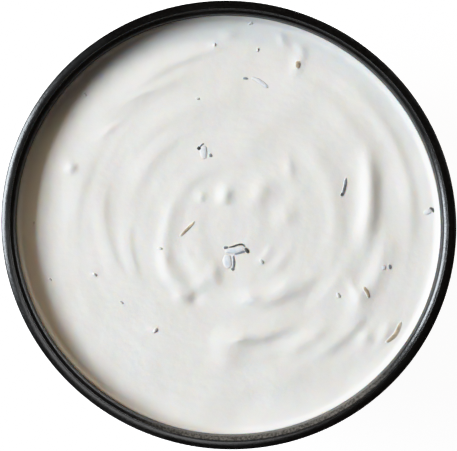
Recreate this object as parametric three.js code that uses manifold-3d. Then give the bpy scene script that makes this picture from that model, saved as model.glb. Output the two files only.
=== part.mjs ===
// A small round stoneware bowl, glazed black, filled with a creamy green onion dressing.
// The dressing has been stirred smooth with a spoon, which left a swirl of low ridges,
// and slices of green onion, spice slivers and herb specks show at its surface.
//
// Units are millimetres. +Z is up, and the origin is the centre of the foot's underside.

import * as THREE from "three";
import { mergeVertices } from "three/addons/utils/BufferGeometryUtils.js";
import Module from "manifold-3d";

const wasm = await Module();
wasm.setup();

// ---------------------------------------------------------------- driving dimensions

const BOWL_HEIGHT = 50;
const RIM_RADIUS = 56.6; // outermost edge of the lip
const MOUTH_RADIUS = 53.3; // inside of the lip, where the wall starts
const MOUTH_HEIGHT = BOWL_HEIGHT - 1.1;
const FLOOR_HEIGHT = 6; // inside floor above the surface the bowl stands on
const WALL = 2.9; // wall thickness under the lip, measured level
const NECK_DROP = 2.7; // where the outside of the wall meets the lip, below its top
const ROUNDNESS = 1.8; // how full the bowl's section is, which is an oval at 2

// The lip has two faces, with a small step between them: the outer one falls away outwards in a
// gentle curve, and the inner one, the seat, slopes down into the bowl.
const LIP_WIDTH = 2; // of the outer face
const LIP_TILT = [5, 32]; // its slope in degrees at its crest and at its outer end
const LIP_EDGE = 0.25; // rounding from there down to the outside of the bowl
const SEAT_TILT = 28;
const SEAT_WIDTH = 0.8;
const SEAT_CROWN = 2.5; // radius of its gentle crown
const SEAT_INSET = 2.7; // its middle from the lip's outer edge
const SEAT_DROP = 0.78; // and below the lip's top

const FOOT_RADIUS = 24;
const FOOT_WALL = 4;
const FOOT_RECESS = 3; // depth of the hollow under the foot
const FOOT_EDGE = 0.6; // rounding of the foot's two lower edges
const FOOT_FLARE = 1.2; // slope where the foot runs into the wall and the hollow's roof

const OUT_OF_ROUND = 0.009; // hand-thrown: this much longer one way and shorter across
const LONG_WAY = 160; // direction of the longer diameter, degrees from +X

const DRESSING_LEVEL = 44.1; // its undisturbed surface, 5.9 below the lip
const FILM_GAP = 0.3; // kept between the dressing and the bowl
const EDGE_RISE = 0.9; // how far the dressing climbs where it meets the wall
const EDGE_REACH = 0.95; // and how far in that climb reaches
const SHORE_RISE = 0.35; // the gentle slope that leads up to there
const SHORE_REACH = 4;
const EDGE_HEIGHT = DRESSING_LEVEL + EDGE_RISE + SHORE_RISE;

const BOWL_STEPS = 56; // facets round the bowl
const SWIRL_STEPS = 84; // facets round the dressing
const SWIRL_RINGS = 42; // rings of facets across its surface

// ---------------------------------------------------------------- materials

const glaze = new THREE.MeshStandardMaterial({ color: 0x0e0f12, roughness: 0.24, metalness: 0 });
const cream = new THREE.MeshStandardMaterial({ color: 0xe6e6df, roughness: 0.38, metalness: 0 });

// ---------------------------------------------------------------- the swirl

// Each stroke of the spoon left a ridge that runs round the bowl. It is given by the angles
// between which it runs (degrees from +X, counted towards +Y), the radius of its crest at its
// start, middle and end, its height, and the reach of its inner and outer flanks.
const STROKES = [
  // the right side: a tall crest with a long low tail, and a ridge within it and without
  { from: -14, to: 36, radius: [33.4, 36, 41.5], height: 0.8, inner: 2, outer: 2.4 },
  { from: -40, to: 84, radius: [31, 37.8, 41.6], height: 0.22, inner: 2.8, outer: 1.8 },
  { from: -18, to: 62, radius: [45.4, 46.2, 46.2], height: 0.32, inner: 2.2, outer: 1.6 },
  { from: -38, to: 76, radius: [27.2, 27.2, 29.6], height: 0.26, inner: 2.4, outer: 3 },
  // the upper left side, from the wall inwards
  { from: 80, to: 142, radius: [46.4, 42.6, 40.4], height: 0.26, inner: 1.3, outer: 2.6 },
  { from: 98, to: 140, radius: [39.2, 39.4, 39.6], height: 0.24, inner: 2, outer: 1.6 },
  { from: 128, to: 200, radius: [38.6, 38.4, 40.2], height: 0.16, inner: 1.8, outer: 2.4 },
  { from: 72, to: 150, radius: [31.4, 30.8, 31.8], height: 0.2, inner: 2.4, outer: 3 },
  { from: 92, to: 184, radius: [25.8, 25.4, 25.4], height: 0.17, inner: 2, outer: 2.2 },
  { from: 150, to: 216, radius: [33, 31.2, 28.8], height: 0.24, inner: 1.4, outer: 2.4 },
  { from: 174, to: 216, radius: [25.4, 25.6, 26.4], height: 0.22, inner: 1, outer: 2.2 },
  // round the middle
  { from: 140, to: 212, radius: [15, 15.4, 18.4], height: 0.34, inner: 2.4, outer: 1.8 },
  { from: 184, to: 250, radius: [16.6, 18.2, 21], height: 0.4, inner: 2.2, outer: 2.4 },
  { from: 84, to: 156, radius: [14.6, 14.8, 14.4], height: 0.18, inner: 1.8, outer: 2.6 },
  { from: 298, to: 348, radius: [15.2, 15.8, 17], height: 0.18, inner: 1.4, outer: 1.4 },
  { from: 298, to: 340, radius: [11.9, 11.9, 12], height: 0.17, inner: 0.9, outer: 1.8 },
  { from: 204, to: 244, radius: [12.6, 12.9, 13.8], height: 0.12, inner: 1.2, outer: 1.4 },
  // the lower right side, from the middle outwards
  { from: 266, to: 340, radius: [17.6, 21.6, 25.6], height: 0.5, inner: 2.4, outer: 2 },
  { from: 258, to: 310, radius: [28.8, 29, 29.6], height: 0.62, inner: 3.4, outer: 1.8 },
  { from: 290, to: 318, radius: [34.8, 35.2, 36.2], height: 0.42, inner: 2.2, outer: 2 },
  { from: 312, to: 356, radius: [29.4, 30.8, 31.6], height: 0.2, inner: 2, outer: 2.4 },
  { from: 298, to: 334, radius: [38.6, 40.2, 40.8], height: 0.36, inner: 2.4, outer: 1.6 },
  { from: 318, to: 362, radius: [37, 39.2, 39.4], height: 0.38, inner: 2.2, outer: 2.4 },
  { from: 248, to: 318, radius: [41, 41.4, 42.8], height: 0.24, inner: 2.8, outer: 2.6 },
];
const STROKE_FADE = 0.4; // share of a stroke over which each end dies away

// Soft lumps and dents where the spoon was lifted, most of them round the middle.
const LUMPS = [
  { at: [-1, 7.6], length: 2.1, width: 1.7, turn: 70, height: 0.55 },
  { at: [7.8, 8.1], length: 3.6, width: 2.4, turn: 62, height: 0.5 },
  { at: [14.5, 2.4], length: 2.8, width: 2.4, turn: 70, height: 0.36 },
  { at: [-7, 7.1], length: 1.5, width: 1.2, turn: 90, height: 0.26 },
  { at: [15.2, 14.4], length: 2.6, width: 1.3, turn: 100, height: 0.22 },
  { at: [-6.5, -10.6], length: 5, width: 3, turn: 112, height: 0.46 },
  { at: [-3.5, -12.1], length: 3, width: 1.7, turn: 100, height: 0.34 },
  { at: [-6.6, -14.2], length: 4.5, width: 1.6, turn: 47, height: 0.2 },
  { at: [-15.1, -12.7], length: 2, width: 1.3, turn: 130, height: 0.24 },
  { at: [-11.1, -17.8], length: 1.8, width: 1.6, turn: 0, height: 0.14 },
  { at: [-0.6, -32.4], length: 4.6, width: 4, turn: 92, height: 0.46 },
  { at: [17.5, 40.6], length: 3.4, width: 1.4, turn: 70, height: 0.3 },
  { at: [-8.3, -18.6], length: 1.6, width: 1.8, turn: 0, height: -0.32 },
  { at: [-5.4, -19], length: 3, width: 2.2, turn: 0, height: -0.14 },
  { at: [5.5, -18.1], length: 2.4, width: 1.8, turn: 0, height: 0.28 },
  { at: [14.2, -15.1], length: 3.2, width: 1.8, turn: 30, height: 0.3 },
  { at: [33, -17.6], length: 3, width: 1.8, turn: 60, height: 0.3 },
  { at: [39.5, -27.1], length: 3.4, width: 1.3, turn: 60, height: 0.35 },
  { at: [-40.2, 14.4], length: 1.7, width: 1.3, turn: 90, height: 0.25 },
];

const radians = THREE.MathUtils.degToRad;
const ease = (x) => THREE.MathUtils.smoothstep(x, 0, 1);

// A value that passes through the three given at the start, middle and end.
function along(three, t) {
  const [start, middle, end] = three;
  return start * (1 - t) * (1 - 2 * t) + 4 * middle * t * (1 - t) + end * t * (2 * t - 1);
}

function strokeHeight(stroke, radius, angle) {
  const middle = (stroke.from + stroke.to) / 2;
  const off = THREE.MathUtils.euclideanModulo(angle - middle + 180, 360) - 180;
  const t = off / (stroke.to - stroke.from) + 0.5;
  const fade = ease(t / STROKE_FADE) * ease((1 - t) / STROKE_FADE);
  if (fade === 0) return 0;
  const out = radius - along(stroke.radius, t);
  const reach = out < 0 ? stroke.inner : stroke.outer;
  return fade * stroke.height * Math.exp(-((out / reach) ** 2));
}

function lumpHeight(lump, x, y) {
  const turned = new THREE.Vector2(x - lump.at[0], y - lump.at[1]);
  turned.rotateAround(new THREE.Vector2(), -radians(lump.turn));
  return lump.height * Math.exp(-((turned.x / lump.length) ** 2) - (turned.y / lump.width) ** 2);
}

// How much longer than round the bowl is in a direction, given in degrees.
function stretch(angle) {
  return 1 + OUT_OF_ROUND * Math.cos(2 * radians(angle - LONG_WAY));
}

// Height of the dressing's surface above the foot, at a place in the bowl.
function surface(x, y) {
  const radius = Math.hypot(x, y);
  const angle = THREE.MathUtils.radToDeg(Math.atan2(y, x));
  const edge = wallRadius(EDGE_HEIGHT, MOUTH_RADIUS, FLOOR_HEIGHT) * stretch(angle);
  const toEdge = Math.max(0, edge - radius);
  let height = DRESSING_LEVEL + EDGE_RISE * Math.exp(-((toEdge / EDGE_REACH) ** 2));
  height += SHORE_RISE * Math.exp(-((toEdge / SHORE_REACH) ** 2));
  for (const stroke of STROKES) height += strokeHeight(stroke, radius, angle);
  for (const lump of LUMPS) height += lumpHeight(lump, x, y);
  return height;
}

// ---------------------------------------------------------------- round solids

// The bowl's section is a rounded curve, full at the mouth and flattening to the floor. This is
// its radius at a height, for a curve that is `mouth` wide and reaches down to `floor`.
function wallRadius(height, mouth, floor) {
  const down = THREE.MathUtils.clamp((MOUTH_HEIGHT - height) / (MOUTH_HEIGHT - floor), 0, 1);
  return mouth * Math.sqrt(1 - down ** ROUNDNESS);
}

function wallHeight(radius, mouth, floor) {
  const down = (1 - (radius / mouth) ** 2) ** (1 / ROUNDNESS);
  return MOUTH_HEIGHT - down * (MOUTH_HEIGHT - floor);
}

// Points down the curve from `top`, closer together where it turns in to the floor.
function wallPoints(top, mouth, floor, count) {
  const start = Math.acos(wallRadius(top, mouth, floor) / mouth);
  return Array.from({ length: count + 1 }, (_, i) => {
    const radius = mouth * Math.cos(THREE.MathUtils.lerp(start, Math.PI / 2, i / count));
    const height = i === count ? floor : wallHeight(radius, mouth, floor);
    return new THREE.Vector2(i === count ? 0 : radius, height);
  });
}

function arcPoints(centre, radius, from, to, count) {
  const { x, y } = centre;
  return new THREE.EllipseCurve(x, y, radius, radius, radians(from), radians(to)).getPoints(count);
}

function pointing(angle) {
  return new THREE.Vector2(Math.cos(radians(angle)), Math.sin(radians(angle)));
}

// The centre of a circle that touches a place, where the circle faces the angle given.
function centreUnder(place, radius, angle) {
  return pointing(angle).multiplyScalar(-radius).add(place);
}

// Makes a bowl-shaped thing slightly longer one way than across.
function outOfRound(geometry) {
  geometry.rotateZ(-radians(LONG_WAY));
  geometry.scale(1 + OUT_OF_ROUND, 1 - OUT_OF_ROUND, 1);
  return geometry.rotateZ(radians(LONG_WAY));
}

// Turns a closed outline, given from the axis outwards underneath and back on top, into a solid.
function turned(outline, steps) {
  return outOfRound(new THREE.LatheGeometry(outline, steps).rotateX(Math.PI / 2));
}

// ---------------------------------------------------------------- the bowl

// The lip's outer face, from the outside of the bowl up to its crest.
function lipPoints() {
  const [inner, outer] = LIP_TILT.map((tilt) => 90 - tilt);
  const crest = new THREE.Vector2(RIM_RADIUS - LIP_WIDTH, BOWL_HEIGHT);
  const reach = LIP_WIDTH - LIP_EDGE + LIP_EDGE * pointing(outer).x;
  const crown = reach / (pointing(outer).x - pointing(inner).x);
  const face = arcPoints(centreUnder(crest, crown, inner), crown, outer, inner, 4);
  const edge = arcPoints(centreUnder(face[0], LIP_EDGE, outer), LIP_EDGE, -60, outer, 3);
  return [...edge.slice(0, -1), ...face];
}

// The seat inside the step, sloping down to the mouth.
function seatPoints() {
  const middle = new THREE.Vector2(RIM_RADIUS - SEAT_INSET, BOWL_HEIGHT - SEAT_DROP);
  const facing = 90 + SEAT_TILT;
  const half = THREE.MathUtils.radToDeg(SEAT_WIDTH / SEAT_CROWN) / 2;
  const centre = centreUnder(middle, SEAT_CROWN, facing);
  return arcPoints(centre, SEAT_CROWN, facing - half, facing + half, 3);
}

function bowlGeometry() {
  const outerMouth = MOUTH_RADIUS + WALL;
  const outerFloor = FLOOR_HEIGHT - WALL;
  const neck = BOWL_HEIGHT - NECK_DROP;
  const footTop = wallHeight(FOOT_RADIUS + FOOT_FLARE, outerMouth, outerFloor);
  const recessRadius = FOOT_RADIUS - FOOT_WALL;

  const foot = [
    new THREE.Vector2(0, FOOT_RECESS),
    new THREE.Vector2(recessRadius - FOOT_FLARE, FOOT_RECESS),
    new THREE.Vector2(recessRadius, FOOT_RECESS - FOOT_FLARE),
    new THREE.Vector2(recessRadius, FOOT_EDGE),
    new THREE.Vector2(recessRadius + FOOT_EDGE, 0),
    new THREE.Vector2(FOOT_RADIUS - FOOT_EDGE, 0),
    new THREE.Vector2(FOOT_RADIUS, FOOT_EDGE),
    new THREE.Vector2(FOOT_RADIUS, footTop - FOOT_FLARE),
    new THREE.Vector2(FOOT_RADIUS + FOOT_FLARE, footTop),
  ];
  const outside = [0.12, 0.28, 0.46, 0.66, 0.84, 1].map((share) => {
    const height = THREE.MathUtils.lerp(footTop, neck, share);
    return new THREE.Vector2(wallRadius(height, outerMouth, outerFloor), height);
  });
  const inside = wallPoints(MOUTH_HEIGHT, MOUTH_RADIUS, FLOOR_HEIGHT, 10);
  return turned([...foot, ...outside, ...lipPoints(), ...seatPoints(), ...inside], BOWL_STEPS);
}

// ---------------------------------------------------------------- the dressing

// The fill follows the inside of the bowl, and its top is swirled.
function fillGeometry() {
  const mouth = MOUTH_RADIUS - FILM_GAP;
  const floor = FLOOR_HEIGHT + FILM_GAP;
  const edge = wallRadius(EDGE_HEIGHT, mouth, floor);
  const under = wallPoints(EDGE_HEIGHT, mouth, floor, 7).reverse();
  const top = Array.from({ length: SWIRL_RINGS }, (_, i) => {
    return new THREE.Vector2(edge * (1 - (i + 1) / SWIRL_RINGS), DRESSING_LEVEL);
  });
  const geometry = turned([...under, ...top], SWIRL_STEPS);
  const place = geometry.getAttribute("position");
  for (let i = 0; i < place.count; i += 1) {
    const isTop = place.getZ(i) > DRESSING_LEVEL - 0.01;
    if (isTop) place.setZ(i, surface(place.getX(i), place.getY(i)));
  }
  return geometry;
}

// Slivers and specks lie half sunk in the surface: length and width in mm, turn in degrees.
const SLIVERS = [
  { name: "green sliver", at: [28.9, 9.4], length: 5.0, width: 1.0, turn: 78 },
  { name: "orange sliver", at: [-10.4, -1.0], length: 5.0, width: 0.8, turn: 45 },
  { name: "brown sliver, lower half", at: [40.0, -28.2], length: 4.0, width: 1.1, turn: 45 },
  { name: "brown sliver, upper half", at: [42.4, -25.2], length: 4.0, width: 1.0, turn: 62 },
  { name: "veiled onion strip", at: [7.6, 35.7], length: 4.4, width: 1.2, turn: -32 },
  { name: "onion strip's tip", at: [4.1, 36.6], length: 1.5, width: 0.8, turn: -5 },
  { name: "tan wedge", at: [35.0, -17.6], length: 2.2, width: 1.1, turn: 105 },
  { name: "tan flake", at: [17.3, 40.3], length: 2.2, width: 1.3, turn: 90 },
  { name: "onion crumb", at: [38.8, -10.6], length: 1.4, width: 1.2, turn: 0 },
  { name: "onion crumb", at: [40.4, -10.4], length: 1.7, width: 1.5, turn: 70 },
  { name: "onion crumb beside the small ring", at: [-4.5, 17.4], length: 1.2, width: 1.1, turn: 0 },
  { name: "hook's tail", at: [49.6, 3.0], length: 1.8, width: 1.3, turn: 10 },
  { name: "speck", at: [27.4, -17.6], length: 1.3, width: 0.8, turn: 80 },
  { name: "speck", at: [7.3, 43.9], length: 1.2, width: 0.8, turn: 20 },
  { name: "speck", at: [-7.8, 31.6], length: 1.1, width: 0.8, turn: 60 },
  { name: "speck", at: [-36.0, 32.6], length: 1.2, width: 0.8, turn: 50 },
  { name: "speck", at: [-33.5, -12.4], length: 1.2, width: 0.8, turn: 40 },
  { name: "speck", at: [-18.5, -26.4], length: 1.3, width: 1.0, turn: 0 },
  { name: "speck", at: [-44.7, -13.6], length: 1.1, width: 0.8, turn: 90 },
  { name: "speck", at: [-17.2, -5.9], length: 1.2, width: 1.0, turn: 0 },
];
const SLIVER_PROUD = 0.45; // how far a sliver stands above the surface, and as far below

function sliverGeometry(sliver) {
  const [x, y] = sliver.at;
  return new THREE.SphereGeometry(1, 7, 4)
    .rotateX(Math.PI / 2)
    .scale(sliver.length / 2, sliver.width / 2, SLIVER_PROUD)
    .rotateZ(radians(sliver.turn))
    .translate(x, y, surface(x, y));
}

// Slices of onion stand on edge as bands: an arc of a flattened ring, open at the top.
// `from` and `to` are the angles of the arc before it is turned, and a full ring runs 0 to 360.
const RINGS = [
  { name: "large slice", at: [1.5, -6.3], long: 2.9, wide: 1.25, turn: -8, from: -60, to: 235 },
  { name: "large slice's stem", at: [0.3, -9.8], long: 0.9, wide: 1.9, turn: 5, from: -85, to: 85 },
  { name: "small slice", at: [-6.1, 18.3], long: 1.7, wide: 1.1, turn: 100, from: -150, to: 160 },
  { name: "hook", at: [49.9, 3.3], long: 1.0, wide: 1.0, turn: 10, from: -50, to: 110 },
];
const RING_SKIN = 0.5; // thickness of a slice's wall
const RING_PROUD = 0.6; // how far its edge stands above the surface
const RING_SUNK = 1.0; // and how far the rest goes down
const RING_STEPS = 9;

function ringGeometry(ring) {
  const [x, y] = ring.at;
  const outline = new THREE.Shape();
  const start = radians(ring.from);
  const end = radians(ring.to);
  const innerLong = ring.long - RING_SKIN;
  const innerWide = ring.wide - RING_SKIN;
  outline.absellipse(0, 0, ring.long, ring.wide, start, end, false);
  outline.lineTo(innerLong * Math.cos(end), innerWide * Math.sin(end));
  outline.absellipse(0, 0, innerLong, innerWide, end, start, true);
  outline.closePath();
  const depth = RING_PROUD + RING_SUNK;
  return new THREE.ExtrudeGeometry(outline, { depth, curveSegments: RING_STEPS, bevelEnabled: false })
    .rotateZ(radians(ring.turn))
    .translate(x, y, surface(x, y) - RING_SUNK);
}

// ---------------------------------------------------------------- joining

const SHORTEST_SIDE = 0.08; // where pieces join, a facet with a shorter side is closed up
const THINNEST_FACET = 0.02; // and so is one that is thinner than this

// The same surface with shared corners and without the slivers of no area at its poles.
function joinedCorners(geometry) {
  const bare = geometry.clone();
  bare.deleteAttribute("normal");
  bare.deleteAttribute("uv");
  const merged = mergeVertices(bare, 1e-4);
  const corners = merged.getIndex().array;
  const kept = [];
  for (let i = 0; i < corners.length; i += 3) {
    const [a, b, c] = corners.slice(i, i + 3);
    if (a !== b && b !== c && c !== a) kept.push(a, b, c);
  }
  merged.setIndex(kept);
  return merged;
}

function toManifold(geometry) {
  const joined = joinedCorners(geometry);
  const vertProperties = new Float32Array(joined.getAttribute("position").array);
  const triVerts = new Uint32Array(joined.getIndex().array);
  return new wasm.Manifold(new wasm.Mesh({ numProp: 3, vertProperties, triVerts }));
}

function toGeometry(solid) {
  const mesh = solid.getMesh();
  const geometry = new THREE.BufferGeometry();
  geometry.setAttribute("position", new THREE.BufferAttribute(mesh.vertProperties, 3));
  geometry.setIndex(new THREE.BufferAttribute(mesh.triVerts, 1));
  geometry.computeVertexNormals();
  return geometry;
}

// A facet's shortest side, as the two corners at its ends, and whether the facet is a thread.
function shortSide(facet, corner) {
  const [a, b, c] = facet;
  const area = new THREE.Triangle(corner(a), corner(b), corner(c)).getArea();
  const sides = [[a, b], [b, c], [c, a]].map(([from, to]) => {
    return { from, to, length: corner(from).distanceTo(corner(to)) };
  });
  sides.sort((one, other) => one.length - other.length);
  const thin = (2 * area) / sides[2].length < THINNEST_FACET;
  return { ...sides[0], isThread: thin || sides[0].length < SHORTEST_SIDE };
}

// Whether a facet would turn over if its corner `from` moved to `to`.
function turnsOver(facet, from, to, corner) {
  const before = new THREE.Triangle(...facet.map(corner)).getNormal(new THREE.Vector3());
  const moved = facet.map((v) => corner(v === from ? to : v));
  const after = new THREE.Triangle(...moved).getNormal(new THREE.Vector3());
  return before.dot(after) < 0.5;
}

// Closes up the threads that joining leaves, by moving one end of a short side to the other.
function withoutThreads(geometry) {
  const place = geometry.getAttribute("position");
  const corner = (v) => new THREE.Vector3().fromBufferAttribute(place, v);
  const index = Array.from(geometry.getIndex().array);
  let facets = Array.from({ length: index.length / 3 }, (_, i) => index.slice(3 * i, 3 * i + 3));
  for (let closed = true; closed; ) {
    closed = false;
    const around = new Map();
    for (const facet of facets) {
      for (const v of facet) around.set(v, [...(around.get(v) ?? []), facet]);
    }
    const settled = new Set();
    for (const facet of facets) {
      const { from, to, isThread } = shortSide(facet, corner);
      if (!isThread) continue;
      const moving = around.get(from);
      const beside = new Set(around.get(to).flat());
      const shared = new Set(moving.flat().filter((v) => v !== from && v !== to && beside.has(v)));
      const rest = moving.filter((other) => !other.includes(to));
      const busy = [...moving, ...around.get(to)].flat().some((v) => settled.has(v));
      if (busy || shared.size !== 2) continue;
      if (rest.some((other) => turnsOver(other, from, to, corner))) continue;
      for (const v of [...moving.flat(), ...beside]) settled.add(v);
      for (const other of moving) other[other.indexOf(from)] = to;
      closed = true;
    }
    facets = facets.filter(([a, b, c]) => a !== b && b !== c && c !== a);
  }
  geometry.setIndex(facets.flat());
  return joinedCorners(geometry);
}

function dressingGeometry() {
  let solid = toManifold(fillGeometry());
  for (const ring of RINGS) solid = solid.add(toManifold(ringGeometry(ring)));
  for (const sliver of SLIVERS) solid = solid.add(toManifold(sliverGeometry(sliver)));
  return withoutThreads(toGeometry(solid));
}

// ---------------------------------------------------------------- the part

function named(name, geometry, material) {
  const mesh = new THREE.Mesh(geometry, material);
  mesh.name = name;
  return mesh;
}

const part = new THREE.Group();
part.add(named("bowl", joinedCorners(bowlGeometry()), glaze));
part.add(named("dressing", dressingGeometry(), cream));

export default part;
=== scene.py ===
# A small black-glazed bowl of creamy green onion dressing, seen from straight above.
#
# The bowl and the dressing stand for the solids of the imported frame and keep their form. What
# lies in the dressing, the onion, the spice and the specks, is a piece for each kind. Sizes are
# in millimetres and are brought to metres as each mesh is finished.

import math

import bmesh
import bpy
from mathutils import Matrix, Vector, noise


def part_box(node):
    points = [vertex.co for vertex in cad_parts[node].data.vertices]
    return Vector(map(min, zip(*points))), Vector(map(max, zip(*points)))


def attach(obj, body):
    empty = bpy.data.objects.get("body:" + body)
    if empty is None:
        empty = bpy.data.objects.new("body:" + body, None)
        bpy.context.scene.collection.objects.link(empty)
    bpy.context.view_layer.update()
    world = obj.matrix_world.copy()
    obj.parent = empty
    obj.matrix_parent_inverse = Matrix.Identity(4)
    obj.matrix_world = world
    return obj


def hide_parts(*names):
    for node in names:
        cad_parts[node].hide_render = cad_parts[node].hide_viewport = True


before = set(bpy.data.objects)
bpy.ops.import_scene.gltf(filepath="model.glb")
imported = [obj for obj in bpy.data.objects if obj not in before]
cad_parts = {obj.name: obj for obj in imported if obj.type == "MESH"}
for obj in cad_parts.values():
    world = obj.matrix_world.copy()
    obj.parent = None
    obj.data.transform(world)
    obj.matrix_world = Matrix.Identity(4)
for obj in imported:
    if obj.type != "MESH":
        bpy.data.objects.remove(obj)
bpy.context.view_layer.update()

MM = 0.001

# ---------------------------------------------------------------- sizes, in millimetres

bowl_low, bowl_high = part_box("bowl")
BOWL_HEIGHT = bowl_high[2] / MM
RIM_RADIUS = (bowl_high[0] - bowl_low[0] + bowl_high[1] - bowl_low[1]) / 4 / MM
MOUTH_RADIUS = RIM_RADIUS - 3.3  # where the inner wall starts
MOUTH_HEIGHT = BOWL_HEIGHT - 1.1
FLOOR_HEIGHT = 6
WALL = 2.9
ROUNDNESS = 1.8  # how full the bowl's section is, which is an oval at 2

# The lip has two faces, with a small step between them: the outer one falls away outwards in a
# gentle curve, and the inner one, the seat, slopes down into the bowl.
LIP_WIDTH = 2.0  # of the outer face
LIP_TILT = (5, 32)  # its slope in degrees at its crest and at its outer end
LIP_EDGE = 0.25  # rounding from there down to the outside of the bowl
CREST_EDGE = 0.07  # rounding of the crest above the step
SEAT_TILT = 28
SEAT_WIDTH = 0.8
SEAT_CROWN = 4  # radius of its gentle crown
SEAT_INSET = 2.7  # its middle from the lip's outer edge
SEAT_DROP = 0.78  # and below the lip's top
SEAT_EDGE = 0.16  # rounding of its two edges

NECK_DROP = 2.7  # where the outside runs into the lip, below the lip's top
FOOT_RADIUS = 24
FOOT_WALL = 4
FOOT_RECESS = 3
FOOT_EDGE = 0.6
FOOT_FLARE = 1.2

OUT_OF_ROUND = 0.009  # as thrown bowls are: half the share by which the long way is longer
LONG_WAY = math.radians(160)

DRESSING_LEVEL = 44.1  # of the dressing where no ridge or lump raises it
EDGE_RISE = 0.9  # how far the dressing climbs where it meets the wall
EDGE_REACH = 0.95
SHORE_RISE = 0.35  # and the gentle slope that leads up to there
SHORE_REACH = 4
EDGE_HEIGHT = DRESSING_LEVEL + EDGE_RISE + SHORE_RISE
INTO_WALL = 0.05  # the dressing wets the wall, so its edge lies just inside the glaze

BOWL_STEPS = 256
OUTSIDE_STEPS = 24
CLOSER_BELOW = 1.4  # how much closer the outside's steps lie near the foot
DRESSING_STEPS = 480
DRESSING_RINGS = 150
WEDGES = 16  # a round piece is turned as one wedge, which is then repeated

# ---------------------------------------------------------------- the swirl

# Each stroke of the spoon left a ridge that runs round the bowl: the angles between which it
# runs (degrees from +X towards +Y), the radius of its crest at its start, middle and end, its
# height, and the reach of its inner and outer flanks.
STROKES = [
    # the right side: a tall crest with a long low tail, and a ridge within it and without
    ((-14, 36), (33.4, 36.0, 41.5), 0.80, (2.0, 2.4)),
    ((-40, 84), (31.0, 37.8, 41.6), 0.22, (2.8, 1.8)),
    ((-18, 62), (45.4, 46.2, 46.2), 0.32, (2.2, 1.6)),
    ((-38, 76), (27.2, 27.2, 29.6), 0.26, (2.4, 3.0)),
    # the upper left side, from the wall inwards
    ((80, 142), (46.4, 42.6, 40.4), 0.26, (1.3, 2.6)),
    ((98, 140), (39.2, 39.4, 39.6), 0.24, (2.0, 1.6)),
    ((128, 200), (38.6, 38.4, 40.2), 0.16, (1.8, 2.4)),
    ((72, 150), (31.4, 30.8, 31.8), 0.20, (2.4, 3.0)),
    ((92, 184), (25.8, 25.4, 25.4), 0.17, (2.0, 2.2)),
    ((150, 216), (33.0, 31.2, 28.8), 0.24, (1.4, 2.4)),
    ((174, 216), (25.4, 25.6, 26.4), 0.22, (1.0, 2.2)),
    # round the middle
    ((140, 212), (15.0, 15.4, 18.4), 0.34, (2.4, 1.8)),
    ((184, 250), (16.6, 18.2, 21.0), 0.40, (2.2, 2.4)),
    ((84, 156), (14.6, 14.8, 14.4), 0.18, (1.8, 2.6)),
    ((298, 348), (15.2, 15.8, 17.0), 0.18, (1.4, 1.4)),
    ((298, 340), (11.9, 11.9, 12.0), 0.17, (0.9, 1.8)),
    ((204, 244), (12.6, 12.9, 13.8), 0.12, (1.2, 1.4)),
    # the lower right side, from the middle outwards
    ((266, 340), (17.6, 21.6, 25.6), 0.50, (2.4, 2.0)),
    ((258, 310), (28.8, 29.0, 29.6), 0.62, (3.4, 1.8)),
    ((290, 318), (34.8, 35.2, 36.2), 0.42, (2.2, 2.0)),
    ((312, 356), (29.4, 30.8, 31.6), 0.20, (2.0, 2.4)),
    ((298, 334), (38.6, 40.2, 40.8), 0.36, (2.4, 1.6)),
    ((318, 362), (37.0, 39.2, 39.4), 0.38, (2.2, 2.4)),
    ((248, 318), (41.0, 41.4, 42.8), 0.24, (2.8, 2.6)),
]
STROKE_FADE = 0.4  # share of a stroke over which each end dies away

# Soft lumps and a dent where the spoon was lifted, and lumps over what lies just under the
# surface: place, length and width, turn in degrees, height.
LUMPS = [
    ((-1.0, 7.6), (2.1, 1.7), 70, 0.55),
    ((7.8, 8.1), (3.6, 2.4), 62, 0.50),
    ((14.5, 2.4), (2.8, 2.4), 70, 0.36),
    ((-7.0, 7.1), (1.5, 1.2), 90, 0.26),
    ((15.2, 14.4), (2.6, 1.3), 100, 0.22),
    ((-6.5, -10.6), (5.0, 3.0), 112, 0.46),
    ((-3.5, -12.1), (3.0, 1.7), 100, 0.34),
    ((-6.6, -14.2), (4.5, 1.6), 47, 0.20),
    ((-15.1, -12.7), (2.0, 1.3), 130, 0.24),
    ((-11.1, -17.8), (1.8, 1.6), 0, 0.14),
    ((-0.6, -32.4), (4.6, 4.0), 92, 0.46),
    ((17.5, 40.6), (3.4, 1.4), 70, 0.30),
    ((-8.3, -18.6), (1.6, 1.8), 0, -0.32),
    ((-5.4, -19.0), (3.0, 2.2), 0, -0.14),
    ((5.5, -18.1), (2.4, 1.8), 0, 0.28),
    ((14.2, -15.1), (3.2, 1.8), 30, 0.30),
    ((33.0, -17.6), (3.0, 1.8), 60, 0.30),
    ((39.5, -27.1), (3.4, 1.3), 60, 0.35),
    ((-40.2, 14.4), (1.7, 1.3), 90, 0.25),
]


def ease(value):
    value = min(1, max(0, value))
    return value * value * (3 - 2 * value)


def along(three, t):
    """The value at t of a curve through the three given at its start, middle and end."""
    start, middle, end = three
    return start * (1 - t) * (1 - 2 * t) + 4 * middle * t * (1 - t) + end * t * (2 * t - 1)


def stroke_height(stroke, radius, angle):
    (first, last), radii, height, (inner, outer) = stroke
    off = (angle - (first + last) / 2 + 180) % 360 - 180
    t = off / (last - first) + 0.5
    if not 0 < t < 1:
        return 0
    out = radius - along(radii, t)
    fade = ease(t / STROKE_FADE) * ease((1 - t) / STROKE_FADE)
    return fade * height * math.exp(-((out / (inner if out < 0 else outer)) ** 2))


def lump_height(lump, x, y):
    (cx, cy), (length, width), turn, height = lump
    turn = math.radians(turn)
    lengthways = (x - cx) * math.cos(turn) + (y - cy) * math.sin(turn)
    across = (y - cy) * math.cos(turn) - (x - cx) * math.sin(turn)
    return height * math.exp(-((lengthways / length) ** 2) - (across / width) ** 2)


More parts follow.
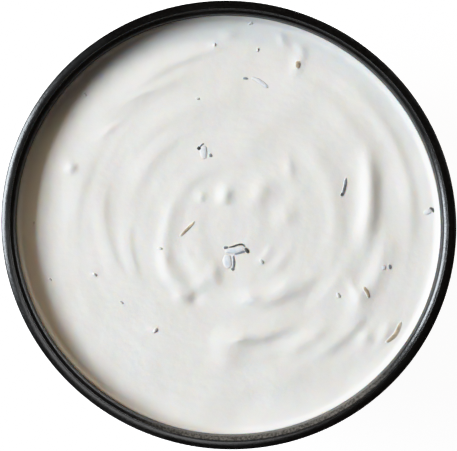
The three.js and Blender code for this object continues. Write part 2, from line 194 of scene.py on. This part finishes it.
def surface(x, y):
    """Height of the dressing at a place, as the solid has it."""
    radius = math.hypot(x, y)
    angle = math.atan2(y, x)
    edge = wall_radius(EDGE_HEIGHT, MOUTH_RADIUS, FLOOR_HEIGHT)
    edge *= 1 + OUT_OF_ROUND * math.cos(2 * (angle - LONG_WAY))
    to_edge = max(0, edge - radius)
    height = DRESSING_LEVEL + EDGE_RISE * math.exp(-((to_edge / EDGE_REACH) ** 2))
    height += SHORE_RISE * math.exp(-((to_edge / SHORE_REACH) ** 2))
    height += sum(stroke_height(stroke, radius, math.degrees(angle)) for stroke in STROKES)
    return height + sum(lump_height(lump, x, y) for lump in LUMPS)


# The spoon's fine streaks run round a middle of their own, and are noise drawn out along them.
STIR_MIDDLE = Vector((1.5, -1.0))
STREAK_DEPTH = 0.05
STREAKS_ROUND = 1.6  # changes of the noise in one radian along them
STREAKS_OUT = 0.26  # and in one millimetre across them
STREAKS_FROM = 12  # inside this radius they widen out and fade into the middle
FINER_STREAKS = 2.3  # how much closer a second, weaker set of them lies
SOFTNESS_DEPTH = 0.2
SOFTNESS_SIZE = 0.09  # changes in one millimetre
MOTTLE_DEPTH = 0.05
MOTTLE_SIZE = 0.27


def ripple(x, y):
    """Fine streaks that the spoon drew out along its way, and a soft unevenness between them."""
    out = Vector((x, y)) - STIR_MIDDLE
    way = out * STREAKS_ROUND / max(out.length, STREAKS_FROM)
    across = out.length * STREAKS_OUT
    streaks = noise.noise(Vector((way.x, way.y, across)))
    streaks += 0.5 * noise.noise(Vector((way.x * 2, way.y * 2, 7 + across * FINER_STREAKS)))
    soft = noise.noise(Vector((x * SOFTNESS_SIZE, y * SOFTNESS_SIZE, 3.1)))
    mottle = noise.noise(Vector((x * MOTTLE_SIZE, y * MOTTLE_SIZE, 8.4)))
    return STREAK_DEPTH * streaks + SOFTNESS_DEPTH * soft + MOTTLE_DEPTH * mottle


# Dabs too small for the solid: place, length and width, turn in degrees, height.
DABS = [
    ((-39.4, 14.4), (1.1, 1.0), 0, 0.3),
    ((-16.2, -9.2), (1.3, 2.2), 10, 0.25),
    ((0.0, 47.9), (2.0, 1.1), 0, 0.25),
    ((13.4, 46.6), (1.0, 2.0), 20, 0.25),
    ((18.2, 44.2), (1.0, 1.5), 30, 0.2),
    ((-3.5, 45.0), (1.4, 1.0), 0, 0.2),
    ((-34.0, -12.4), (0.9, 0.9), 0, 0.15),
    ((-19.2, -26.2), (1.1, 0.9), 0, 0.18),
    ((34.6, -28.2), (1.5, 2.0), -35, 0.35),
    ((31.5, -16.0), (1.2, 2.6), 25, 0.3),
    ((3.0, -28.4), (2.6, 0.9), 5, 0.25),
    ((-12.5, -18.0), (1.2, 1.6), 40, 0.2),
    ((-30.0, 24.0), (3.2, 0.9), 35, 0.16),
    ((-22.0, 33.0), (3.6, 0.9), 25, 0.16),
]


def fine_surface(x, y):
    """Height of the dressing with its fine relief."""
    return surface(x, y) + ripple(x, y) + sum(lump_height(dab, x, y) for dab in DABS)


# ---------------------------------------------------------------- meshes

OVAL = (
    Matrix.Rotation(LONG_WAY, 4, "Z")
    @ Matrix.Diagonal((1 + OUT_OF_ROUND, 1 - OUT_OF_ROUND, 1, 1))
    @ Matrix.Rotation(-LONG_WAY, 4, "Z")
)


def finish_piece(bm, name, material, nodes):
    """Brings a mesh to metres and makes it a smooth piece that rides on the part's one body."""
    bmesh.ops.scale(bm, vec=(MM, MM, MM), verts=bm.verts)
    for face in bm.faces:
        face.smooth = True
    mesh = bpy.data.meshes.new(name)
    bm.to_mesh(mesh)
    bm.free()
    mesh.materials.append(material)
    piece = bpy.data.objects.new(name, mesh)
    bpy.context.collection.objects.link(piece)
    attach(piece, "root")
    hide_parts(*nodes)


def spin(bm, angle, steps, **how):
    """Turns all there is round the bowl's axis, drawing out faces or setting down copies."""
    how.update(geom=bm.verts[:] + bm.edges[:] + bm.faces[:], angle=angle, steps=steps)
    bmesh.ops.spin(bm, cent=(0, 0, 0), axis=(0, 0, 1), **how)


def turned(outline, steps):
    """A solid of revolution from half its section, given from the axis round to the axis."""
    bm = bmesh.new()
    corners = [bm.verts.new((radius, 0, height)) for radius, height in outline]
    for one, other in zip(corners, corners[1:]):
        bm.edges.new((one, other))
    wedge = math.tau / WEDGES
    spin(bm, wedge, steps // WEDGES)
    spin(bm, math.tau - wedge, WEDGES - 1, use_duplicate=True)
    bmesh.ops.remove_doubles(bm, verts=bm.verts, dist=1e-4)
    bmesh.ops.recalc_face_normals(bm, faces=bm.faces)
    return bm


def arc(centre, radius, first, last, steps):
    """Points on a circle between two angles in degrees."""
    points = []
    for i in range(steps + 1):
        angle = math.radians(first + (last - first) * i / steps)
        points.append((centre[0] + radius * math.cos(angle), centre[1] + radius * math.sin(angle)))
    return points


def wall_radius(height, mouth, floor):
    """Radius at a height of the oval section that runs from a mouth down to a floor."""
    down = min(1, max(0, (MOUTH_HEIGHT - height) / (MOUTH_HEIGHT - floor)))
    return mouth * math.sqrt(1 - down**ROUNDNESS)


def wall_height(radius, mouth, floor):
    """Height at a radius of that section."""
    down = (1 - min(1, radius / mouth) ** 2) ** (1 / ROUNDNESS)
    return MOUTH_HEIGHT - down * (MOUTH_HEIGHT - floor)


def wall_points(top, mouth, floor, steps):
    """Points down the section's curve from a height to the axis, closest where it turns in."""
    start = math.acos(wall_radius(top, mouth, floor) / mouth)
    points = []
    for i in range(steps):
        radius = mouth * math.cos(start + (math.pi / 2 - start) * i / steps)
        points.append((radius, wall_height(radius, mouth, floor)))
    return points + [(0, floor)]


def bowl_outline():
    """Half the bowl's section: under the foot, up the outside, over the lip and down inside."""
    outer_mouth = MOUTH_RADIUS + WALL
    outer_floor = FLOOR_HEIGHT - WALL
    recess = FOOT_RADIUS - FOOT_WALL
    foot_top = wall_height(FOOT_RADIUS + FOOT_FLARE, outer_mouth, outer_floor)
    neck = BOWL_HEIGHT - NECK_DROP
    under = [(0, FOOT_RECESS), (recess * 0.5, FOOT_RECESS)]
    under += arc((recess - FOOT_FLARE, FOOT_RECESS - FOOT_FLARE), FOOT_FLARE, 90, 0, 6)
    under += arc((recess + FOOT_EDGE, FOOT_EDGE), FOOT_EDGE, 180, 270, 6)
    under += arc((FOOT_RADIUS - FOOT_EDGE, FOOT_EDGE), FOOT_EDGE, -90, 0, 6)
    under += arc((FOOT_RADIUS + FOOT_FLARE, foot_top - FOOT_FLARE), FOOT_FLARE, 180, 100, 6)
    outside = []
    for i in range(1, OUTSIDE_STEPS + 1):
        height = foot_top + (neck - foot_top) * (i / OUTSIDE_STEPS) ** CLOSER_BELOW
        outside.append((wall_radius(height, outer_mouth, outer_floor), height))
    inside = wall_points(MOUTH_HEIGHT, MOUTH_RADIUS, FLOOR_HEIGHT, 34)
    return under + outside + lip_points() + seat_points() + inside


def rounding(place, radius, at, first, last, steps):
    """An arc between two directions that touches a place where it faces one of them."""
    centre = Vector(place) - radius * pointing(at)
    return arc(centre, radius, first, last, steps)


def pointing(angle):
    """The direction at an angle in degrees."""
    return Vector((math.cos(math.radians(angle)), math.sin(math.radians(angle))))


def lip_points():
    """The lip's outer face, from the outside of the bowl up to the crest and over it."""
    inner, outer = 90 - LIP_TILT[0], 90 - LIP_TILT[1]
    reach = LIP_WIDTH - LIP_EDGE + LIP_EDGE * pointing(outer).x
    crown = reach / (pointing(outer).x - pointing(inner).x)
    crest = (RIM_RADIUS - LIP_WIDTH, BOWL_HEIGHT)
    face = rounding(crest, crown, inner, outer, inner, 16)
    edge = rounding(face[0], LIP_EDGE, outer, -60, outer, 10)
    return edge[:-1] + face + rounding(crest, CREST_EDGE, inner, inner, 178, 5)[1:]


def seat_points():
    """The seat inside the step: a small rounding, its gentle crown, and another rounding."""
    middle = (RIM_RADIUS - SEAT_INSET, BOWL_HEIGHT - SEAT_DROP)
    half = math.degrees(SEAT_WIDTH / SEAT_CROWN) / 2
    first, last = 90 + SEAT_TILT - half, 90 + SEAT_TILT + half
    crown = rounding(middle, SEAT_CROWN, 90 + SEAT_TILT, first, last, 8)
    top = rounding(crown[0], SEAT_EDGE, first, 60, first, 4)
    return top[:-1] + crown + rounding(crown[-1], SEAT_EDGE, last, last, 176, 5)[1:]


# The seat and the wall below it are given a speckled grey colour on one side of the bowl.
GREY_BAND_SIDE = math.radians(283)
GREY_BAND_REACH = math.radians(42)  # to each side, over the outer half of which the grey band dies away
FINISH_BLEND = 0.2  # across which one finish passes into the next
MARKS_FROM = DRESSING_LEVEL - 1  # nothing below this height shows inside the bowl


def mark_inner_finishes(bm):
    """Notes at each corner of the bowl whether it is on the duller inner wall, and how far it lies in the
    grey band.
    """
    inside = bm.verts.layers.float.new("inside")
    grey_band = bm.verts.layers.float.new("grey_band")
    for vert in bm.verts:
        inward = RIM_RADIUS - math.hypot(vert.co.x, vert.co.y) - SEAT_INSET
        past_seat = (inward - SEAT_WIDTH / 2) / FINISH_BLEND
        on_seat = (inward + SEAT_WIDTH / 2) / FINISH_BLEND + 0.5
        aside = math.remainder(math.atan2(vert.co.y, vert.co.x) - GREY_BAND_SIDE, math.tau)
        above = vert.co.z > MARKS_FROM
        vert[inside] = above * ease(past_seat)
        vert[grey_band] = above * ease(on_seat) * ease(2 - 2 * abs(aside) / GREY_BAND_REACH)


def make_bowl():
    bm = turned(bowl_outline(), BOWL_STEPS)
    mark_inner_finishes(bm)
    bmesh.ops.transform(bm, matrix=OVAL, verts=bm.verts)
    finish_piece(bm, "glazed_bowl", black_glaze(), ["bowl"])


def make_dressing():
    """A flat-topped filling of the bowl, whose top is then raised to the stirred surface."""
    mouth = MOUTH_RADIUS + INTO_WALL
    floor = FLOOR_HEIGHT + INTO_WALL
    edge = wall_radius(EDGE_HEIGHT, mouth, floor)
    under = wall_points(EDGE_HEIGHT, mouth, floor, 16)[::-1]
    shares = [1 - i / DRESSING_RINGS for i in range(1, DRESSING_RINGS + 1)]
    top = [(edge * share, DRESSING_LEVEL) for share in shares]
    bm = turned(under + top, DRESSING_STEPS)
    bmesh.ops.transform(bm, matrix=OVAL, verts=bm.verts)
    for vert in bm.verts:
        if vert.co.z > DRESSING_LEVEL - 1e-3:
            vert.co.z = fine_surface(vert.co.x, vert.co.y)
    finish_piece(bm, "creamy_dressing", creamy_dressing(), ["dressing"])


# ---------------------------------------------------------------- what lies in the dressing

STRIP_SIDES = 14
STRIP_STEPS = 6  # between two of its points
STRIP_TAPER = 0.35  # share of a strip over which its ends draw in
STRIP_END = 0.02  # what is left of its section at its very ends, squared
STRIP_UNEVENNESS = 0.22


def curve_through(points, steps):
    """A smooth run of points through the ones given."""
    ends = [points[0]] + list(points) + [points[-1]]
    run = []
    for i in range(len(points) - 1):
        a, b, c, d = (Vector(p) for p in ends[i : i + 4])
        for j in range(steps):
            t = j / steps
            bend = (2 * a - 5 * b + 4 * c - d) * t**2 + (3 * b - a - 3 * c + d) * t**3
            run.append(0.5 * (2 * b + (c - a) * t + bend))
    return run + [Vector(points[-1])]


def add_strip(bm, points, width, height, lift):
    """A sliver or a cut edge that runs through the points, (x, y), with an oval section.

    The dressing climbs its sides as a film, so each corner notes how bare it is.
    """
    bare = bm.verts.layers.float["bare"]
    run = curve_through(points, STRIP_STEPS)
    last = len(run) - 1
    before = None
    for i, place in enumerate(run):
        t = i / last
        way = run[min(i + 1, last)] - run[max(i - 1, 0)]
        share = math.sqrt(max(STRIP_END, 1 - abs(2 * t - 1) ** (1 / STRIP_TAPER)))
        draw = noise.noise(Vector((place.x * 1.7, place.y * 1.7, width * 5)))
        uneven = 1 + STRIP_UNEVENNESS * draw
        middle = fine_surface(place.x, place.y) + lift * share
        matrix = (
            Matrix.Translation((place.x, place.y, middle))
            @ Matrix.Rotation(math.atan2(way.y, way.x), 4, "Z")
            @ Matrix.Rotation(math.pi / 2, 4, "Y")
            @ Matrix.Diagonal((height / 2 * share, width / 2 * share * uneven, 1, 1))
        )
        circle = bmesh.ops.create_circle(bm, segments=STRIP_SIDES, radius=1, matrix=matrix)
        ring = circle["verts"]
        for vert in ring:
            proud = vert.co.z - fine_surface(vert.co.x, vert.co.y)
            vert[bare] = ease(proud / (lift + height / 2))
        edges = list({edge for vert in ring for edge in vert.link_edges})
        if before:
            bmesh.ops.bridge_loops(bm, edges=before + edges)
        if i in (0, last):
            bmesh.ops.contextual_create(bm, geom=edges)
        before = edges


def make_strips(name, strips, material):
    """One piece of all the strips of a kind."""
    bm = bmesh.new()
    bm.verts.layers.float.new("bare")
    for points, width, height, lift in strips:
        add_strip(bm, points, width, height, lift)
    bmesh.ops.recalc_face_normals(bm, faces=bm.faces)
    finish_piece(bm, name, material, ["dressing"])


# Each strip: the points it runs through, its width, its height and how far its middle is lifted.
ONION_SKIN = [
    # the large slice's upper edge with its dark tip, and the small slice's dark corner
    ([(-0.2, -5.6), (0.9, -5.45), (2.4, -4.95), (3.5, -4.95), (4.2, -5.75)], 0.55, 0.41, 0.0),
    ([(4.0, -5.7), (4.6, -6.5), (5.0, -7.05)], 1.0, 0.41, 0.05),
    ([(-7.85, 18.95), (-7.55, 19.3), (-7.2, 19.65)], 1.0, 0.36, 0.05),
    # the green sliver's ends and the hook
    ([(29.45, 11.4), (29.3, 10.6), (29.15, 9.8)], 0.75, 0.3, 0.0),
    ([(28.6, 8.2), (28.4, 7.7), (28.3, 7.2)], 0.8, 0.3, 0.0),
    ([(50.4, 4.4), (51.3, 3.95), (51.5, 3.1)], 0.7, 0.36, 0.0),
]
ONION_EDGE = [
    # the large slice's left end, its lower edge and its stem with its darker foot
    ([(-1.35, -5.75), (-0.8, -5.7), (-0.1, -5.65)], 0.8, 0.36, 0.0),
    ([(1.2, -7.35), (2.3, -7.1), (3.6, -6.7), (4.3, -6.6)], 0.65, 0.36, 0.0),
    ([(1.05, -7.6), (1.25, -9.4), (1.0, -11.4)], 0.7, 0.32, 0.0),
    ([(0.6, -11.3), (1.0, -11.1), (1.35, -10.9)], 0.9, 0.3, 0.0),
    # the small slice's edge, the green sliver, two crumbs and the veiled strip's tip
    ([(-7.3, 19.6), (-6.8, 20.2), (-6.2, 20.5)], 0.4, 0.32, 0.0),
    ([(29.5, 11.9), (29.1, 9.5), (28.35, 7.1)], 0.9, 0.32, 0.0),
    ([(40.1, -10.5), (40.5, -10.45), (40.9, -10.35)], 1.3, 0.3, 0.0),
    ([(-5.0, 17.35), (-4.6, 17.5), (-4.25, 17.75)], 1.1, 0.32, 0.0),
    ([(3.5, 36.9), (4.2, 36.9), (4.9, 36.75)], 0.7, 0.3, 0.0),
]
ONION_FLESH = [
    # two pieces of the large slice, the small slice, the hook, a crumb and the veiled strip
    ([(-1.0, -6.55), (1.0, -6.4), (4.0, -5.9)], 1.5, 0.36, 0.0),
    ([(-0.2, -7.4), (-0.4, -9.0), (0.0, -10.9)], 2.2, 0.36, 0.0),
    ([(-6.2, 19.9), (-6.4, 18.5), (-6.1, 16.6)], 1.8, 0.32, 0.0),
    ([(49.0, 3.0), (50.0, 3.3), (51.0, 3.6)], 1.3, 0.3, 0.0),
    ([(38.5, -10.75), (39.0, -10.7), (39.5, -10.6)], 1.2, 0.3, 0.0),
    ([(5.7, 37.1), (7.8, 36.1), (9.9, 34.6)], 1.1, 0.3, 0.0),
]
SPICE = [
    # the orange sliver, the brown one, the tan wedge and the tan flake
    ([(-12.3, -2.8), (-10.4, -1.0), (-8.6, 0.9)], 0.8, 0.3, 0.0),
    ([(39.4, -29.5), (41.8, -27.7), (43.4, -24.4)], 1.2, 0.3, 0.0),
    ([(33.8, -15.5), (34.8, -17.0), (35.2, -18.4)], 1.0, 0.3, 0.0),
    ([(17.3, 41.3), (17.4, 40.5), (17.2, 39.4)], 1.3, 0.3, 0.0),
]
# Each speck: its place, x and y, and its size.
SPECKS = [
    (27.6, -17.7, 1.2),
    (7.3, 44.1, 0.8),
    (-7.8, 31.8, 0.8),
    (-36.2, 32.8, 0.9),
    (-33.7, -12.5, 0.9),
    (-18.5, -26.5, 1.2),
    (-27.0, -19.5, 0.8),
    (-44.9, -13.7, 0.7),
    (-49.0, 0.6, 0.6),
    (5.5, 50.7, 0.8),
    (-3.5, 45.4, 0.7),
    (-17.3, -5.9, 1.0),
    (8.3, -9.2, 1.1),
]


SPECK_HEIGHT = 0.5


def speck_strips():
    """Each speck is a short scrap, lying as a draw from its place says."""
    strips = []
    for x, y, size in SPECKS:
        turn = math.pi * noise.noise(Vector((x, y, 5)))
        half = Vector((math.cos(turn), math.sin(turn))) * size * 0.6
        middle = Vector((x, y))
        strips.append(([middle - half, middle, middle + half], size * 0.7, SPECK_HEIGHT, 0.0))
    return strips


# ---------------------------------------------------------------- materials


def new_material(name):
    """A material, with its nodes, its links and its shader."""
    material = bpy.data.materials.new(name)
    material.use_nodes = True
    nodes = material.node_tree.nodes
    return material, nodes, material.node_tree.links, nodes["Principled BSDF"]


def grain(nodes, links, size, detail=2.0, roughness=0.5):
    """Noise on the object's own coordinates, with features of about the size in millimetres."""
    place = nodes.new("ShaderNodeTexCoord")
    texture = nodes.new("ShaderNodeTexNoise")
    texture.inputs["Scale"].default_value = 1 / (size * MM)
    texture.inputs["Detail"].default_value = detail
    texture.inputs["Roughness"].default_value = roughness
    links.new(place.outputs["Object"], texture.inputs["Vector"])
    return texture.outputs["Fac"]


def spread(nodes, links, value, low, high, start=0.3, end=0.7):
    """Carries a value between start and end over to the range from low to high."""
    node = nodes.new("ShaderNodeMapRange")
    node.inputs["From Min"].default_value = start
    node.inputs["From Max"].default_value = end
    node.inputs["To Min"].default_value = low
    node.inputs["To Max"].default_value = high
    links.new(value, node.inputs["Value"])
    return node.outputs["Result"]


def ramp(nodes, links, value, *stops):
    """Colours a value by stops of (position, colour)."""
    node = nodes.new("ShaderNodeValToRGB")
    elements = node.color_ramp.elements
    while len(elements) < len(stops):
        elements.new(0.5)
    for element, (position, colour) in zip(elements, stops):
        element.position = position
        element.color = (*colour, 1)
    links.new(value, node.inputs["Fac"])
    return node.outputs["Color"]


def bump(nodes, links, value, depth):
    """Raises the surface by a value, depth millimetres from 0 to 1."""
    node = nodes.new("ShaderNodeBump")
    node.inputs["Distance"].default_value = depth * MM
    links.new(value, node.inputs["Height"])
    return node.outputs["Normal"]


GLAZE_BLACK = (0.0012, 0.0012, 0.0014)
GLAZE_SPECKLE = (0.012, 0.012, 0.011)
GREY_BAND_DARK = (0.05, 0.047, 0.042)
GREY_BAND_PALE = (0.16, 0.153, 0.14)
SATIN = 0.5  # roughness of the inner wall, which is duller than the lip
PITTING_SIZE = 0.8  # of the glaze's fine pits
PITTING_DEPTH = 0.035


def black_glaze():
    material, nodes, links, shader = new_material("black_glaze")
    speckle = grain(nodes, links, 0.5, detail=3)
    patches = grain(nodes, links, 9, detail=3)
    glaze = ramp(nodes, links, speckle, (0.5, GLAZE_BLACK), (0.8, GLAZE_SPECKLE))
    # A speckled grey band on one side of the seat and the inner wall, mixed over the black by its mark.
    grey = ramp(nodes, links, speckle, (0.4, GREY_BAND_DARK), (0.6, GREY_BAND_PALE))
    grey_band = nodes.new("ShaderNodeAttribute")
    grey_band.attribute_name = "grey_band"
    colour = nodes.new("ShaderNodeMix")
    colour.data_type = "RGBA"
    links.new(grey_band.outputs["Fac"], colour.inputs["Factor"])
    links.new(glaze, colour.inputs["A"])
    links.new(grey, colour.inputs["B"])
    links.new(colour.outputs["Result"], shader.inputs["Base Color"])
    glossy = spread(nodes, links, patches, 0.16, 0.28)
    inside = nodes.new("ShaderNodeAttribute")
    inside.attribute_name = "inside"
    finish = nodes.new("ShaderNodeMix")
    finish.inputs["B"].default_value = SATIN
    links.new(inside.outputs["Fac"], finish.inputs["Factor"])
    links.new(glossy, finish.inputs["A"])
    links.new(finish.outputs["Result"], shader.inputs["Roughness"])
    pits = grain(nodes, links, PITTING_SIZE, detail=4, roughness=0.7)
    links.new(bump(nodes, links, pits, PITTING_DEPTH), shader.inputs["Normal"])
    shader.inputs["IOR"].default_value = 1.52
    return material


CREAM_LIGHT = (0.86, 0.86, 0.845)
CREAM_DEEP = (0.83, 0.825, 0.8)
CREAM_GRAIN = 1.6
CREAM_GRAIN_DEPTH = 0.06
# The film that climbs the wall is wetter than the rest.
WET_FROM = DRESSING_LEVEL + SHORE_RISE + 0.1
WET_FULL = WET_FROM + 0.4
WETNESS = 0.8


def creamy_dressing():
    material, nodes, links, shader = new_material("creamy_dressing")
    cloud = grain(nodes, links, 14, detail=3)
    links.new(ramp(nodes, links, cloud, (0.3, CREAM_DEEP), (0.7, CREAM_LIGHT)), shader.inputs["Base Color"])
    links.new(spread(nodes, links, grain(nodes, links, 5), 0.34, 0.44), shader.inputs["Roughness"])
    fine = grain(nodes, links, CREAM_GRAIN, detail=2)
    links.new(bump(nodes, links, fine, CREAM_GRAIN_DEPTH), shader.inputs["Normal"])
    place = nodes.new("ShaderNodeTexCoord")
    parts = nodes.new("ShaderNodeSeparateXYZ")
    links.new(place.outputs["Object"], parts.inputs["Vector"])
    wet = spread(nodes, links, parts.outputs["Z"], 0, WETNESS, WET_FROM * MM, WET_FULL * MM)
    links.new(wet, shader.inputs["Coat Weight"])
    shader.inputs["Coat Roughness"].default_value = 0.14
    shader.inputs["IOR"].default_value = 1.42
    shader.inputs["Subsurface Weight"].default_value = 0.8
    shader.inputs["Subsurface Radius"].default_value = (1.0, 0.72, 0.5)
    shader.inputs["Subsurface Scale"].default_value = 0.2 * MM
    return material


def veiled(name, size, film, *stops):
    """A scrap in the dressing: its own colours where it is bare, and the dressing's at its foot.

    `film` is the share of the dressing's colour that lies even over its barest places.
    """
    material, nodes, links, shader = new_material(name)
    tone = grain(nodes, links, size, detail=3)
    colour = ramp(nodes, links, tone, *stops)
    bare = nodes.new("ShaderNodeAttribute")
    bare.attribute_name = "bare"
    mix = nodes.new("ShaderNodeMix")
    mix.data_type = "RGBA"
    mix.inputs["A"].default_value = (*CREAM_LIGHT, 1)
    links.new(spread(nodes, links, bare.outputs["Fac"], 0, 1 - film, 0.1, 0.9), mix.inputs["Factor"])
    links.new(colour, mix.inputs["B"])
    links.new(mix.outputs["Result"], shader.inputs["Base Color"])
    links.new(spread(nodes, links, tone, 0.28, 0.42), shader.inputs["Roughness"])
    return material


def onion_skin():
    return veiled("onion_skin", 1.8, 0.02, (0.45, (0.025, 0.025, 0.02)), (0.65, (0.1, 0.115, 0.11)))


def onion_edge():
    return veiled("onion_edge", 1.4, 0.1, (0.4, (0.075, 0.09, 0.115)), (0.62, (0.22, 0.265, 0.33)))


def onion_flesh():
    stops = ((0.35, (0.68, 0.77, 0.92)), (0.65, (0.86, 0.92, 1.0)))
    material = veiled("onion_flesh", 1.2, 0.15, *stops)
    shader = material.node_tree.nodes["Principled BSDF"]
    shader.inputs["Subsurface Weight"].default_value = 0.6
    shader.inputs["Subsurface Radius"].default_value = (0.7, 0.9, 1.0)
    shader.inputs["Subsurface Scale"].default_value = 0.6 * MM
    return material


def spice_tan():
    stops = ((0.35, (0.2, 0.15, 0.08)), (0.55, (0.44, 0.32, 0.18)), (0.7, (0.68, 0.54, 0.37)))
    return veiled("spice_tan", 1.6, 0.15, *stops)


def herb_speck():
    return veiled("herb_speck", 1.4, 0.6, (0.35, (0.12, 0.12, 0.12)), (0.65, (0.36, 0.35, 0.35)))


# ---------------------------------------------------------------- stage, light and camera

PIXEL = 0.25  # one pixel of the photograph's frame, at the height of the lip
FRAME_WIDTH = 457
CAMERA_ABOVE_LIP = 900
FRAME_MIDDLE = (-0.07, -0.12)  # the frame's middle, from the bowl's
SENSOR_WIDTH = 36
FLOOR_SIZE = 2000


def make_floor():
    bm = bmesh.new()
    bmesh.ops.create_grid(bm, x_segments=1, y_segments=1, size=FLOOR_SIZE * MM)
    mesh = bpy.data.meshes.new("floor")
    bm.to_mesh(mesh)
    bm.free()
    material, _, _, shader = new_material("pale_floor")
    shader.inputs["Base Color"].default_value = (0.92, 0.92, 0.92, 1)
    shader.inputs["Roughness"].default_value = 0.8
    shader.inputs["Emission Color"].default_value = (1, 1, 1, 1)
    shader.inputs["Emission Strength"].default_value = 1.1
    mesh.materials.append(material)
    floor = bpy.data.objects.new("floor", mesh)
    bpy.context.collection.objects.link(floor)
    floor.visible_glossy = False


def make_camera():
    data = bpy.data.cameras.new("camera")
    data.sensor_width = SENSOR_WIDTH
    data.lens = SENSOR_WIDTH * CAMERA_ABOVE_LIP / (FRAME_WIDTH * PIXEL)
    camera = bpy.data.objects.new("camera", data)
    camera.location = Vector((*FRAME_MIDDLE, BOWL_HEIGHT + CAMERA_ABOVE_LIP)) * MM
    bpy.context.collection.objects.link(camera)
    bpy.context.scene.camera = camera


def add_softbox(name, azimuth, elevation, distance, width, height, radiance, colour):
    """A rectangle of light that faces the bowl, its angles in degrees and its sizes in metres."""
    data = bpy.data.lights.new(name, "AREA")
    data.shape = "RECTANGLE"
    data.size = width
    data.size_y = height
    data.energy = radiance * math.pi * width * height
    data.color = colour
    light = bpy.data.objects.new(name, data)
    azimuth, elevation = math.radians(azimuth), math.radians(elevation)
    flat = math.cos(elevation)
    way = Vector((flat * math.cos(azimuth), flat * math.sin(azimuth), math.sin(elevation)))
    light.location = way * distance + Vector((0, 0, BOWL_HEIGHT * MM))
    light.rotation_euler = way.to_track_quat("Z", "Y").to_euler()
    bpy.context.collection.objects.link(light)
    return light


# How the picture's bright end is compressed: a light, and how light it is shown.
HIGHLIGHT_ROLL = [(0.4, 0.4), (0.85, 0.845), (1.0, 0.93), (1.3, 0.975), (2.0, 1.0)]


def light_stage():
    """A window at the left, the warm dim room, and glints that only shiny things show."""
    add_softbox("window", 170, 34, 2.0, 1.2, 0.64, 25.6, (0.86, 0.925, 0.985))
    room = add_softbox("room", 98, 36, 1.4, 1.5, 0.3, 4.6, (1.0, 0.76, 0.5))
    room.visible_glossy = False
    glints = [
        add_softbox("sky_glint", 38, 7, 1.4, 1.8, 0.24, 12, (0.96, 0.98, 1.0)),
        add_softbox("left_glint", 232, 8, 1.4, 1.6, 0.3, 3.2, (0.96, 0.98, 1.0)),
        add_softbox("ceiling_glint", 238, 68, 1.4, 0.85, 0.5, 3.2, (0.98, 0.99, 1.0)),
    ]
    for glint in glints:
        glint.visible_diffuse = False
    world = bpy.data.worlds.new("studio")
    world.use_nodes = True
    background = world.node_tree.nodes["Background"]
    background.inputs["Color"].default_value = (1.0, 0.74, 0.5, 1)
    background.inputs["Strength"].default_value = 0.04
    bpy.context.scene.world = world
    soften_highlights(bpy.context.scene.view_settings)


def soften_highlights(view):
    """Rolls the brightest light off gently, as a camera does."""
    view.view_transform = "Standard"
    view.use_curve_mapping = True
    mapping = view.curve_mapping
    mapping.clip_max_x = HIGHLIGHT_ROLL[-1][0]
    curve = mapping.curves[3]
    curve.points[-1].location = HIGHLIGHT_ROLL[-1]
    for light, shown in HIGHLIGHT_ROLL[:-1]:
        curve.points.new(light, shown)
    mapping.update()


make_camera()
make_floor()
light_stage()
make_bowl()
make_dressing()
make_strips("onion_skin", ONION_SKIN, onion_skin())
make_strips("onion_edge", ONION_EDGE, onion_edge())
make_strips("onion_flesh", ONION_FLESH, onion_flesh())
make_strips("spice_slivers", SPICE, spice_tan())
make_strips("herb_specks", speck_strips(), herb_speck())
